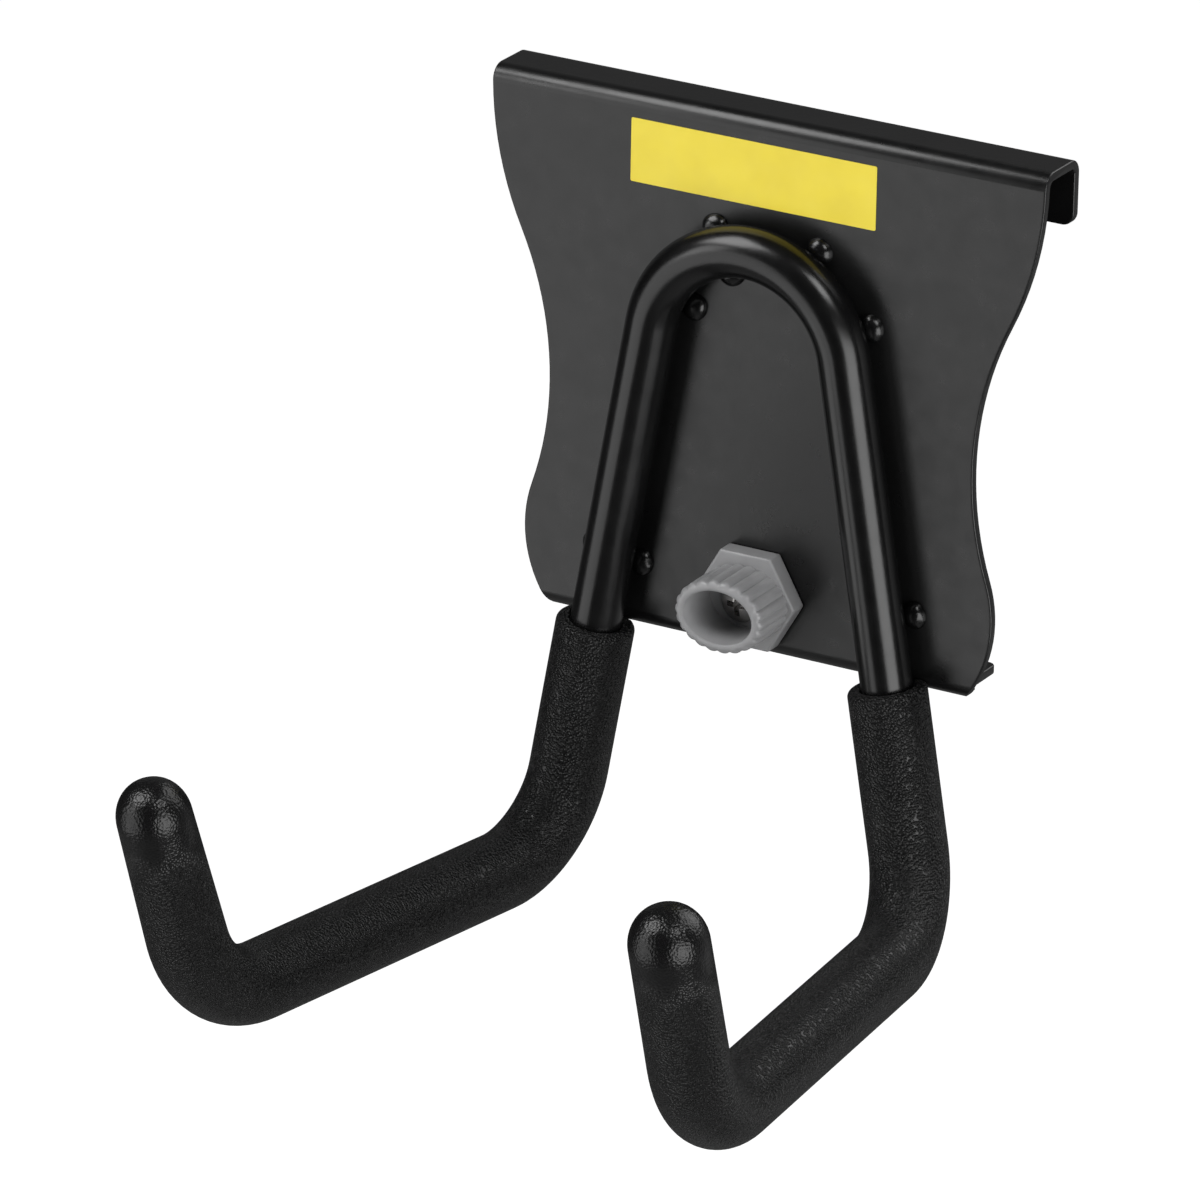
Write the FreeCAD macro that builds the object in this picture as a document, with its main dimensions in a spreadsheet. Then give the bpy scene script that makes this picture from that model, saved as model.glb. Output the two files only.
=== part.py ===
import FreeCAD, Part
import math
import os
import Sketcher
from FreeCAD import Placement, Rotation, Vector

# Garage utility hook: a folded steel plate that hangs on a wall rail, one bent rod
# welded to its face, a soft sleeve on each arm and a quarter-turn lock near the foot.
# Frame: origin in the middle of the rail seat, which is the underside of the top fold.
# +X is the user's right, -Y points at the user and +Z is up.

os.makedirs("parts", exist_ok=True)
doc = FreeCAD.newDocument("utility_hook")

# Driving dimensions, in millimetres and degrees.
# A drop is measured down from the plate's top face, a rise up from its lower edge, a reach
# forward from its front face, and a spread is half of a distance across the middle plane.
SIZES = {
    "plate_width": 118.0,
    "plate_height": 106.9,
    "sheet": 1.8,
    "bend_inner": 1.2,
    "fold_depth": 13.3,
    "lip_drop": 13.3,
    "lip_corner": 2.5,
    "foot_depth": 16.2,
    "foot_round": 2.5,
    "foot_corner": 1.5,
    "side_drop": 1.9,
    "waist_inset": 5.0,
    "waist_rise": 46.0,
    "hip_width": 101.3,
    "hip_rise": 16.1,
    "hip_radius": 25.7,
    "rod_diameter": 10.0,
    "crown_radius": 20.9,
    "crown_drop": 24.8,
    "heel_spread": 40.1,
    "heel_drop": 154.2,
    "heel_radius": 17.3,
    "toe_spread": 52.6,
    "toe_reach": 111.6,
    "toe_drop": 150.3,
    "toe_radius": 24.2,
    "tip_spread": 54.0,
    "tip_reach": 126.7,
    "tip_drop": 107.8,
    "sleeve_wall": 2.55,
    "sleeve_fit": 0.1,
    "sleeve_gap": 0.3,
    "sleeve_rise": 1.7,
    "sleeve_edge": 1.5,
    "sleeve_mouth": 0.6,
    "bead_width": 4.4,
    "bead_offset": 4.8,
    "bead_fit": 0.04,
    "bead_low_angle": 22.0,
    "bead_high_angle": 66.0,
    "bead_leg_rise": 14.2,
    "lock_rise": 12.0,
    "lock_play": 0.15,
    "hex_flats": 18.4,
    "hex_thickness": 4.0,
    "hex_edge": 0.4,
    "collar_width": 19.0,
    "collar_height": 14.6,
    "collar_length": 10.5,
    "collar_rim": 1.3,
    "flute_depth": 0.6,
    "bore_width": 14.6,
    "bore_height": 10.4,
    "bore_edge": 0.4,
    "knob_floor": 4.4,
    "hub_diameter": 11.0,
    "hub_play": 0.1,
    "drive_side": 7.0,
    "drive_play": 0.05,
    "cam_standoff": 4.5,
    "cam_boss": 14.0,
    "cam_thickness": 5.0,
    "cam_heel": 8.5,
    "cam_reach": 15.5,
    "cam_nose": 5.0,
    "screw_diameter": 4.0,
    "screw_play": 0.2,
    "screw_grip": 0.03,
    "head_diameter": 7.6,
    "head_height": 2.4,
    "recess_span": 4.4,
    "recess_width": 1.1,
    "recess_depth": 1.5,
}
FLUTES = 22
HEX_SIDES = 6
FULL_TURN = 360

# How far a cutting shape reaches past the material it cuts, in millimetres
MARGIN = 2.0

table = doc.addObject("Spreadsheet::Sheet", "sizes")
for row, (alias, value) in enumerate(SIZES.items(), start=1):
    table.set(f"A{row}", alias)
    table.set(f"B{row}", str(value))
    table.setAlias(f"B{row}", alias)
doc.recompute()


def size(alias):
    """The value of one cell of the table."""
    return float(table.get(alias))


# Levels that several pieces share
front = -size("fold_depth") / 2
top = size("sheet")
bottom = top - size("plate_height")
rod_radius = size("rod_diameter") / 2
rod_depth = front - rod_radius
lock_height = bottom + size("lock_rise")


# Helpers for sketches and bound sizes

def origin_plane(body, role):
    """One of a body's own origin planes, found by its role."""
    return next(part for part in body.Origin.OriginFeatures if part.Role == role)


def new_sketch(body, name, role, offset=None):
    """A sketch on an origin plane, moved along the plane's normal by an expression."""
    sketch = body.newObject("Sketcher::SketchObject", name)
    sketch.AttachmentSupport = (origin_plane(body, role), [""])
    sketch.MapMode = "FlatFace"
    if offset:
        sketch.setExpression("AttachmentOffset.Base.z", offset)
    return sketch


def bind(target, bindings):
    """Ties properties of an object to expressions."""
    for prop, expression in bindings.items():
        target.setExpression(prop, expression)


def constrain(sketch, kind, where, value, expression=None):
    """Adds one constraint with a value and ties that value to the table."""
    index = sketch.addConstraint(Sketcher.Constraint(kind, *where, value))
    if expression:
        sketch.setExpression(f"Constraints[{index}]", expression)
    return index


def join(sketch, kind, *where):
    """Adds one geometric constraint, which has no value."""
    sketch.addConstraint(Sketcher.Constraint(kind, *where))


def polygon(sketch, corners):
    """A closed outline whose level and upright sides stay level and upright."""
    count = len(corners)
    lines = []
    for index in range(count):
        start = Vector(*corners[index], 0)
        end = Vector(*corners[(index + 1) % count], 0)
        line = sketch.addGeometry(Part.LineSegment(start, end), False)
        lines.append(line)
        if abs(start.x - end.x) < 1e-9:
            join(sketch, "Vertical", line)
        if abs(start.y - end.y) < 1e-9:
            join(sketch, "Horizontal", line)
    for index in range(count):
        join(sketch, "Coincident", lines[index], 2, lines[(index + 1) % count], 1)
    return lines


def edges_where(shape, test):
    """Names of the edges that pass a test, for a fillet or chamfer."""
    return [f"Edge{index}" for index, edge in enumerate(shape.Edges, start=1) if test(edge)]


def runs_along(edge, axis):
    """True for a straight edge parallel to an axis."""
    if edge.Curve.TypeId != "Part::GeomLine":
        return False
    return abs(abs(edge.Curve.Direction.dot(axis)) - 1) < 1e-6


def near(value, target):
    return abs(value - target) < 1e-3


X_AXIS = Vector(1, 0, 0)
Y_AXIS = Vector(0, 1, 0)
Z_AXIS = Vector(0, 0, 1)
TO_FRONT = Rotation(X_AXIS, 90)
TO_BACK = Rotation(X_AXIS, -90)


# Back plate: one sheet with a hook-over fold along the top and a foot turned back below

plate = doc.addObject("PartDesign::Body", "back_plate")
plate.Label = "back_plate"
back = size("fold_depth") / 2
foot_back = front + size("foot_depth")
lip_end = top - size("lip_drop")
wall = size("sheet")

section = new_sketch(plate, "folded_section", "YZ_Plane")
corners = [
    (front, top),
    (back, top),
    (back, lip_end),
    (back - wall, lip_end),
    (back - wall, 0.0),
    (front + wall, 0.0),
    (front + wall, bottom + wall),
    (foot_back, bottom + wall),
    (foot_back, bottom),
    (front, bottom),
]
side = polygon(section, corners)
join(section, "PointOnObject", side[5], 1, -1)
constrain(section, "DistanceX", (side[0], 1, -1, 1), -front, "sizes.fold_depth / 2")
constrain(section, "DistanceX", (side[0], 1, side[0], 2), 2 * back, "sizes.fold_depth")
constrain(section, "DistanceX", (side[8], 2, side[8], 1), size("foot_depth"), "sizes.foot_depth")
constrain(section, "DistanceX", (side[2], 2, side[2], 1), wall, "sizes.sheet")
constrain(section, "DistanceX", (side[9], 1, side[5], 2), wall, "sizes.sheet")
constrain(section, "DistanceY", (side[4], 1, side[1], 1), wall, "sizes.sheet")
constrain(section, "DistanceY", (side[7], 2, side[7], 1), wall, "sizes.sheet")
constrain(section, "DistanceY", (side[1], 2, side[1], 1), size("lip_drop"), "sizes.lip_drop")
constrain(section, "DistanceY", (side[9], 1, side[9], 2), size("plate_height"), "sizes.plate_height")

fold = plate.newObject("PartDesign::Pad", "folded_sheet")
fold.Profile = section
fold.SideType = "Symmetric"
bind(fold, {"Length": "sizes.plate_width"})
doc.recompute()


def bends(edge, places):
    """True for an edge along X that passes one of the given corners of the section."""
    point = edge.Vertexes[0].Point
    return runs_along(edge, X_AXIS) and any(near(point.y, y) and near(point.z, z) for y, z in places)


inner = [corners[4], corners[5], corners[6]]
outer = [corners[0], corners[1], corners[9]]
inside = plate.newObject("PartDesign::Fillet", "inner_bends")
inside.Base = (fold, edges_where(fold.Shape, lambda edge: bends(edge, inner)))
bind(inside, {"Radius": "sizes.bend_inner"})
doc.recompute()
outside = plate.newObject("PartDesign::Fillet", "outer_bends")
outside.Base = (inside, edges_where(inside.Shape, lambda edge: bends(edge, outer)))
bind(outside, {"Radius": "sizes.bend_inner + sizes.sheet"})
doc.recompute()

# The outline: each side swings in to a waist, out to the hips and round to the foot, where
# a tighter round takes it into the lower edge
half_plate = size("plate_width") / 2
half_hip = size("hip_width") / 2
half_waist = half_hip - size("waist_inset")
side_end = top - size("side_drop")
waist_level = bottom + size("waist_rise")
hip_level = bottom + size("hip_rise")


def tangent_sum(inset, rise):
    """Sum of the radii of two arcs that meet smoothly, upright at both far ends."""
    return (inset ** 2 + rise ** 2) / (2 * inset)


hip_radius = size("hip_radius")
upper_sum = tangent_sum(half_plate - half_waist, side_end - waist_level)
lower_sum = tangent_sum(size("waist_inset"), waist_level - hip_level)
shoulder_radius = upper_sum / 2
upper_waist = shoulder_radius
lower_waist = lower_sum - hip_radius
shoulder_turn = math.asin((side_end - waist_level) / upper_sum)
hip_turn = math.asin((waist_level - hip_level) / lower_sum)
hip_centre = half_hip - hip_radius
foot_round = size("foot_round")
foot_level = bottom + foot_round
half_foot = hip_centre + math.sqrt((hip_radius - foot_round) ** 2 - (hip_level - foot_level) ** 2)
foot_turn = math.atan2(hip_level - foot_level, half_foot - hip_centre)
HALF_FOOT = ("(sizes.hip_width / 2 - sizes.hip_radius + sqrt((sizes.hip_radius - sizes.foot_round) ^ 2"
             " - (sizes.hip_rise - sizes.foot_round) ^ 2))")


def arc(centre_x, centre_y, radius, start, end):
    circle = Part.Circle(Vector(centre_x, centre_y, 0), Z_AXIS, radius)
    return Part.ArcOfCircle(circle, start, end)


outline = new_sketch(plate, "side_outline", "XZ_Plane", "sizes.fold_depth / 2")
shoulder = outline.addGeometry(
    arc(half_plate - shoulder_radius, side_end, shoulder_radius, -shoulder_turn, 0), False)
waist_top = outline.addGeometry(
    arc(half_waist + upper_waist, waist_level, upper_waist, math.pi - shoulder_turn, math.pi), False)
waist_low = outline.addGeometry(
    arc(half_waist + lower_waist, waist_level, lower_waist, math.pi, math.pi + hip_turn), False)
hip = outline.addGeometry(
    arc(hip_centre, hip_level, hip_radius, -foot_turn, hip_turn), False)
foot_arc = outline.addGeometry(
    arc(half_foot, foot_level, foot_round, -math.pi / 2, -foot_turn), False)
rim = [
    Vector(half_foot, bottom, 0),
    Vector(half_foot, bottom - MARGIN, 0),
    Vector(half_plate + MARGIN, bottom - MARGIN, 0),
    Vector(half_plate + MARGIN, side_end, 0),
    Vector(half_plate, side_end, 0),
]
lines = [outline.addGeometry(Part.LineSegment(a, b), False) for a, b in zip(rim, rim[1:])]
join(outline, "Tangent", shoulder, 1, waist_top, 1)
join(outline, "Tangent", waist_top, 2, waist_low, 1)
join(outline, "Tangent", waist_low, 2, hip, 2)
join(outline, "Tangent", hip, 1, foot_arc, 2)
join(outline, "Vertical", foot_arc, 1, foot_arc, 3)
join(outline, "Coincident", foot_arc, 1, lines[0], 1)
join(outline, "Coincident", lines[0], 2, lines[1], 1)
join(outline, "Coincident", lines[1], 2, lines[2], 1)
join(outline, "Coincident", lines[2], 2, lines[3], 1)
join(outline, "Coincident", lines[3], 2, shoulder, 2)
join(outline, "Vertical", lines[0])
join(outline, "Horizontal", lines[1])
join(outline, "Vertical", lines[2])
join(outline, "Horizontal", lines[3])
join(outline, "Horizontal", shoulder, 2, shoulder, 3)
join(outline, "Horizontal", waist_top, 2, waist_top, 3)
join(outline, "Equal", shoulder, waist_top)
constrain(outline, "Radius", (hip,), hip_radius, "sizes.hip_radius")
constrain(outline, "Radius", (foot_arc,), foot_round, "sizes.foot_round")
constrain(outline, "DistanceX", (-1, 1, shoulder, 2), half_plate, "sizes.plate_width / 2")
constrain(outline, "DistanceX", (-1, 1, waist_top, 2), half_waist,
          "sizes.hip_width / 2 - sizes.waist_inset")
constrain(outline, "DistanceX", (-1, 1, hip, 3), hip_centre, "sizes.hip_width / 2 - sizes.hip_radius")
constrain(outline, "DistanceY", (shoulder, 2, -1, 1), -side_end, "sizes.side_drop - sizes.sheet")
constrain(outline, "DistanceY", (waist_top, 2, -1, 1), -waist_level,
          "sizes.plate_height - sizes.sheet - sizes.waist_rise")
constrain(outline, "DistanceY", (hip, 3, -1, 1), -hip_level,
          "sizes.plate_height - sizes.sheet - sizes.hip_rise")
constrain(outline, "DistanceY", (foot_arc, 1, -1, 1), -bottom, "sizes.plate_height - sizes.sheet")
constrain(outline, "DistanceX", (shoulder, 2, lines[2], 2), MARGIN)
constrain(outline, "DistanceY", (lines[0], 2, lines[0], 1), MARGIN)

trim = plate.newObject("PartDesign::Pocket", "side_trim")
trim.Profile = outline
bind(trim, {"Length": "sizes.sheet + sizes.bend_inner"})
doc.recompute()

# The foot goes back at the width that the rounds leave of the lower edge
foot_outline = new_sketch(plate, "foot_outline", "XY_Plane", "sizes.sheet - sizes.plate_height")
bend_end = front + wall + size("bend_inner")
foot_end = polygon(foot_outline, [
    (half_foot, bend_end),
    (half_plate + MARGIN, bend_end),
    (half_plate + MARGIN, foot_back + MARGIN),
    (half_foot, foot_back + MARGIN),
])
constrain(foot_outline, "DistanceX", (-1, 1, foot_end[0], 1), half_foot, HALF_FOOT)
constrain(foot_outline, "DistanceX", (-1, 1, foot_end[0], 2), half_plate + MARGIN,
          f"sizes.plate_width / 2 + {MARGIN}")
constrain(foot_outline, "DistanceY", (foot_end[0], 1, -1, 1), -bend_end,
          "sizes.fold_depth / 2 - sizes.sheet - sizes.bend_inner")
constrain(foot_outline, "DistanceY", (foot_end[0], 1, foot_end[2], 1), foot_back + MARGIN - bend_end,
          f"sizes.foot_depth - sizes.sheet - sizes.bend_inner + {MARGIN}")
foot_trim = plate.newObject("PartDesign::Pocket", "foot_trim")
foot_trim.Profile = foot_outline
foot_trim.Reversed = True
bind(foot_trim, {"Length": "sizes.sheet + sizes.bend_inner"})
doc.recompute()

both_sides = plate.newObject("PartDesign::Mirrored", "both_sides")
both_sides.Originals = [trim, foot_trim]
both_sides.MirrorPlane = (origin_plane(plate, "YZ_Plane"), [""])
plate.Tip = both_sides
doc.recompute()


def lip_corner(edge):
    point = edge.Vertexes[0].Point
    return runs_along(edge, Y_AXIS) and near(point.z, lip_end) and near(abs(point.x), half_plate)


def foot_corner(edge):
    point = edge.Vertexes[0].Point
    return runs_along(edge, Z_AXIS) and near(point.y, foot_back) and near(abs(point.x), half_foot)


lip_round = plate.newObject("PartDesign::Fillet", "lip_corners")
lip_round.Base = (both_sides, edges_where(both_sides.Shape, lip_corner))
bind(lip_round, {"Radius": "sizes.lip_corner"})
doc.recompute()
foot_round = plate.newObject("PartDesign::Fillet", "foot_corners")
foot_round.Base = (lip_round, edges_where(lip_round.Shape, foot_corner))
bind(foot_round, {"Radius": "sizes.foot_corner"})
doc.recompute()

# Round hole for the lock's hub
hub_sketch = new_sketch(plate, "hub_hole_sketch", "XZ_Plane", "sizes.fold_depth / 2")
hole_radius = size("hub_diameter") / 2 + size("hub_play")
hub_circle = hub_sketch.addGeometry(Part.Circle(Vector(0, lock_height, 0), Z_AXIS, hole_radius), False)
join(hub_sketch, "PointOnObject", hub_circle, 3, -2)
constrain(hub_sketch, "Radius", (hub_circle,), hole_radius, "sizes.hub_diameter / 2 + sizes.hub_play")
constrain(hub_sketch, "DistanceY", (hub_circle, 3, -1, 1), -lock_height,
          "sizes.plate_height - sizes.sheet - sizes.lock_rise")
hub_hole = plate.newObject("PartDesign::Pocket", "hub_hole")
hub_hole.Profile = hub_sketch
bind(hub_hole, {"Length": "sizes.sheet"})
plate.Tip = hub_hole
doc.recompute()


# Route of the rod: an inverted U on the plate, two legs that spread, and on each side an
# arm that runs forward and a tip that turns up

crown = Vector(0, rod_depth, top - size("crown_drop") - size("crown_radius"))


def place(side, spread, reach, drop):
    """A corner of the route on one side, from its spread, reach and drop."""
    return Vector(side * size(spread), front - reach, top - size(drop))


def route_corners(side):
    """Heel, toe and tip of one side of the rod."""
    heel = place(side, "heel_spread", rod_radius, "heel_drop")
    toe = place(side, "toe_spread", size("toe_reach"), "toe_drop")
    tip = place(side, "tip_spread", size("tip_reach"), "tip_drop")
    return heel, toe, tip


def leg_start(side):
    """Point where a leg leaves the crown's circle, and the angle of that point."""
    heel = route_corners(side)[0]
    away = heel - crown
    spread = math.acos(size("crown_radius") / away.Length)
    angle = math.atan2(away.z, away.x) + side * spread
    return crown + Vector(math.cos(angle), 0, math.sin(angle)) * size("crown_radius")


def rounded(before, corner, after, radius):
    """Start, middle and end of the arc that rounds one corner of a route."""
    inward = (before - corner).normalize()
    onward = (after - corner).normalize()
    half = inward.getAngle(onward) / 2
    trim_length = radius / math.tan(half)
    middle_way = (inward + onward).normalize()
    centre = corner + middle_way * (radius / math.sin(half))
    return corner + inward * trim_length, centre - middle_way * radius, corner + onward * trim_length


def arm_edges(side, start):
    """Runs and bends of one side, from a point on its leg to the tip."""
    heel, toe, tip = route_corners(side)
    heel_arc = rounded(start, heel, toe, size("heel_radius"))
    toe_arc = rounded(heel, toe, tip, size("toe_radius"))
    return [
        Part.LineSegment(start, heel_arc[0]),
        Part.Arc(*heel_arc),
        Part.LineSegment(heel_arc[2], toe_arc[0]),
        Part.Arc(*toe_arc),
        Part.LineSegment(toe_arc[2], tip),
    ]


def route(name, curves):
    """A wire object that sweeps follow."""
    wire = doc.addObject("Part::Feature", name)
    wire.Shape = Part.Wire(Part.__sortEdges__([curve.toShape() for curve in curves]))
    return wire


def swept(name, spine, start, ahead, radius):
    """A round bar of a bound radius along a route."""
    ring = doc.addObject("Part::Circle", f"{name}_ring")
    ring.Placement = Placement(start, Rotation(Z_AXIS, ahead))
    bind(ring, {"Radius": radius})
    bar = doc.addObject("Part::Sweep", name)
    bar.Sections = [ring]
    bar.Spine = (spine, [f"Edge{index + 1}" for index in range(len(spine.Shape.Edges))])
    bar.Solid = True
    bar.Frenet = False
    return bar


left_start = leg_start(-1)
right_start = leg_start(1)
crown_top = crown + Vector(0, 0, size("crown_radius"))
crown_arc = Part.Arc(left_start, crown_top, right_start)
rod_route = route("rod_route", arm_edges(-1, left_start) + [crown_arc] + arm_edges(1, right_start))
left_tip = route_corners(-1)[2]
left_toe = route_corners(-1)[1]
rod = swept("hook_rod", rod_route, left_tip, left_toe - left_tip, "sizes.rod_diameter / 2")
rod.Label = "hook_rod"
doc.recompute()


# Sleeves: a soft tube on each arm, open at the top of the leg and domed over the tip. The
# open ends reach up in front of the plate's lower bend and are cut away round it

room = doc.addObject("Part::Box", "plate_room_block")
room_front = front - size("sleeve_gap")
room_bottom = bottom - size("sleeve_gap")
room.Placement = Placement(Vector(-half_plate, room_front, room_bottom), Rotation())
bind(room, {
    "Length": "sizes.plate_width",
    "Width": "sizes.foot_depth",
    "Height": "sizes.plate_height",
})
doc.recompute()


def room_corner(edge):
    point = edge.Vertexes[0].Point
    return runs_along(edge, X_AXIS) and near(point.y, room_front) and near(point.z, room_bottom)


room_radius = size("bend_inner") + size("sheet") + size("sleeve_gap")
plate_room = doc.addObject("Part::Fillet", "plate_room")
plate_room.Base = room
plate_room.Edges = [(int(name[4:]), room_radius, room_radius)
                    for name in edges_where(room.Shape, room_corner)]


def sleeve_start(side):
    """Point on the leg where a sleeve begins, a little above the plate's lower edge."""
    start = leg_start(side)
    heel = route_corners(side)[0]
    along = (heel - start).normalize()
    return start + along * ((bottom + size("sleeve_rise") - start.z) / along.z)


def make_sleeve(name, side):
    start = sleeve_start(side)
    heel, toe, tip = route_corners(side)
    spine = route(f"{name}_route", arm_edges(side, start))
    bore_radius = "sizes.rod_diameter / 2 + sizes.sleeve_fit"
    skin_radius = f"{bore_radius} + sizes.sleeve_wall"
    skin = swept(f"{name}_skin", spine, start, heel - start, skin_radius)
    bore = swept(f"{name}_bore", spine, start, heel - start, bore_radius)
    dome = doc.addObject("Part::Sphere", f"{name}_dome")
    dome.Placement = Placement(tip, Rotation())
    bind(dome, {"Radius": skin_radius})
    solid = doc.addObject("Part::Fuse", f"{name}_solid")
    solid.Base = skin
    solid.Tool = dome
    tube = doc.addObject("Part::Cut", f"{name}_tube")
    tube.Base = solid
    tube.Tool = bore
    doc.recompute()
    ends = [(index, edge) for index, edge in enumerate(tube.Shape.Edges, start=1)
            if edge.isClosed() and (edge.CenterOfMass - start).Length < size("sleeve_edge")]
    outer_end, inner_end = sorted(ends, key=lambda item: -item[1].Length)[:2]
    eased = doc.addObject("Part::Fillet", f"{name}_eased")
    eased.Base = tube
    eased.Edges = [
        (outer_end[0], size("sleeve_edge"), size("sleeve_edge")),
        (inner_end[0], size("sleeve_mouth"), size("sleeve_mouth")),
    ]
    sleeve = doc.addObject("Part::Cut", name)
    sleeve.Base = eased
    sleeve.Tool = plate_room
    sleeve.Label = name
    return sleeve


left_sleeve = make_sleeve("left_sleeve", -1)
right_sleeve = make_sleeve("right_sleeve", 1)
doc.recompute()


# Weld beads: short domes in the corner between rod and plate, in pairs across the rod

bead_relief = swept("bead_relief", rod_route, left_tip, left_toe - left_tip,
                    "sizes.rod_diameter / 2 + sizes.bead_fit")


def bead(name, centre):
    """Half a ball, flat on the plate's face."""
    dome = doc.addObject("Part::Sphere", name)
    dome.Placement = Placement(centre, TO_FRONT)
    dome.Angle1 = 0
    bind(dome, {"Radius": "sizes.bead_width / 2"})
    return dome


def bead_spots():
    """Middle of the rod and direction across it, at each welded place."""
    low = math.radians(size("bead_low_angle"))
    high = math.radians(size("bead_high_angle"))
    for angle in (low, high, math.pi - high, math.pi - low):
        across = Vector(math.cos(angle), 0, math.sin(angle))
        yield crown + across * size("crown_radius"), across
    for side in (-1, 1):
        start = leg_start(side)
        along = (route_corners(side)[0] - start).normalize()
        spot = start + along * ((bottom + size("bead_leg_rise") - start.z) / along.z)
        yield spot, along.cross(Y_AXIS)


domes = []
for spot, across in bead_spots():
    for sign in (-1, 1):
        on_plate = Vector(spot.x, front, spot.z)
        domes.append(bead(f"bead_{len(domes) + 1}", on_plate + across * (sign * size("bead_offset"))))
bead_group = doc.addObject("Part::Compound", "bead_group")
bead_group.Links = domes
beads = doc.addObject("Part::Cut", "weld_beads")
beads.Base = bead_group
beads.Tool = bead_relief
beads.Label = "weld_beads"
doc.recompute()


# Lock knob: a hexagon with a fluted oval collar in front and a hub with a square drive
# behind. The oval lies across when the lock is open and stands upright when it is shut

def on_axis(y, rotation):
    """A place on the lock's axis."""
    return Placement(Vector(0, y, lock_height), rotation)


hex_back = front - size("lock_play")
hex_front = hex_back - size("hex_thickness")
collar_front = hex_front - size("collar_length")
hub_end = front + wall + size("lock_play")

hexagon = doc.addObject("Part::Prism", "knob_hexagon")
hexagon.Polygon = HEX_SIDES
hexagon.Placement = on_axis(hex_back, TO_FRONT)
bind(hexagon, {
    "Circumradius": f"sizes.hex_flats / 2 / cos({FULL_TURN / HEX_SIDES / 2})",
    "Height": "sizes.hex_thickness",
})
doc.recompute()


def on_hex_face(edge):
    return all(near(vertex.Point.y, hex_front) for vertex in edge.Vertexes)


hex_round = doc.addObject("Part::Chamfer", "knob_hexagon_eased")
hex_round.Base = hexagon
hex_round.Edges = [(int(name[4:]), size("hex_edge"), size("hex_edge"))
                   for name in edges_where(hexagon.Shape, on_hex_face)]

hub = doc.addObject("Part::Cylinder", "knob_hub")
hub.Placement = on_axis(hub_end, TO_FRONT)
bind(hub, {
    "Radius": "sizes.hub_diameter / 2",
    "Height": "sizes.sheet + 2 * sizes.lock_play + sizes.hex_thickness / 2",
})

drive = doc.addObject("Part::Box", "knob_drive")
half_drive = size("drive_side") / 2
drive.Placement = Placement(Vector(-half_drive, hub_end, lock_height - half_drive), Rotation())
bind(drive, {
    "Length": "sizes.drive_side",
    "Height": "sizes.drive_side",
    "Width": "sizes.cam_standoff - sizes.drive_play",
})


def oval(half_width, half_height, y, count):
    """Evenly spaced points round an oval that faces the user."""
    curve = Part.Ellipse(Vector(0, 0, 0), max(half_width, half_height), min(half_width, half_height))
    turn = Rotation(Z_AXIS, 0 if half_width >= half_height else 90)
    points = curve.toShape().discretize(Number=count + 1)[:-1]
    return [on_axis(y, TO_FRONT).multVec(turn.multVec(point)) for point in points]


def fluted_outline(inset, y):
    """Closed row of convex flutes: each arc runs from valley over crest to valley."""
    half_width = size("collar_width") / 2 - inset
    half_height = size("collar_height") / 2 - inset
    depth = size("flute_depth")
    crests = oval(half_width, half_height, y, 2 * FLUTES)
    valleys = oval(half_width - depth, half_height - depth, y, 2 * FLUTES)
    arcs = []
    for flute in range(FLUTES):
        first = 2 * flute
        last = (first + 2) % (2 * FLUTES)
        arcs.append(Part.Arc(valleys[first], crests[first + 1], valleys[last]).toShape())
    return Part.Wire(arcs)


rim_depth = size("collar_rim")
rim_half = rim_depth / 2
rim_round = rim_depth - math.sqrt(rim_depth ** 2 - rim_half ** 2)
stations = [
    fluted_outline(0, hex_front + size("hex_thickness") / 2),
    fluted_outline(0, collar_front + rim_depth),
    fluted_outline(rim_round, collar_front + rim_half),
    fluted_outline(rim_half, collar_front),
]
lofts = [Part.makeLoft([a, b], True, True) for a, b in zip(stations, stations[1:])]
collar = doc.addObject("Part::Feature", "knob_collar")
collar.Shape = lofts[0].multiFuse(lofts[1:]).removeSplitter()

knob_solid = doc.addObject("Part::MultiFuse", "knob_solid")
knob_solid.Shapes = [hex_round, hub, drive, collar]

bore_ring = doc.addObject("Part::Ellipse", "knob_bore_ring")
floor_level = hex_back - size("knob_floor")
bore_ring.Placement = on_axis(floor_level, TO_FRONT)
bind(bore_ring, {"MajorRadius": "sizes.bore_width / 2", "MinorRadius": "sizes.bore_height / 2"})
bore = doc.addObject("Part::Extrusion", "knob_bore")
bore.Base = bore_ring
bore.DirMode = "Custom"
bore.Dir = -Y_AXIS
bore.Solid = True
bind(bore, {"LengthFwd": "sizes.hex_thickness + sizes.collar_length"})

screw_hole = doc.addObject("Part::Cylinder", "knob_screw_hole")
screw_hole.Placement = on_axis(floor_level - MARGIN, TO_BACK)
bind(screw_hole, {
    "Radius": "sizes.screw_diameter / 2 + sizes.screw_play",
    "Height": f"{2 * MARGIN} + sizes.knob_floor + 2 * sizes.lock_play + sizes.sheet + sizes.cam_standoff",
})
knob_holes = doc.addObject("Part::Fuse", "knob_holes")
knob_holes.Base = bore
knob_holes.Tool = screw_hole
knob_cut = doc.addObject("Part::Cut", "knob_cut")
knob_cut.Base = knob_solid
knob_cut.Tool = knob_holes
doc.recompute()


def bore_mouth(edge):
    return edge.isClosed() and near(edge.CenterOfMass.y, collar_front)


knob = doc.addObject("Part::Fillet", "lock_knob")
knob.Base = knob_cut
knob.Edges = [(int(name[4:]), size("bore_edge"), size("bore_edge"))
              for name in edges_where(knob_cut.Shape, bore_mouth)]
knob.Label = "lock_knob"
doc.recompute()


# Lock cam: a boss that stands off the plate's back by the rail's lip, and a nose that
# points left when open and swings up behind the lip when the knob is turned clockwise

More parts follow.
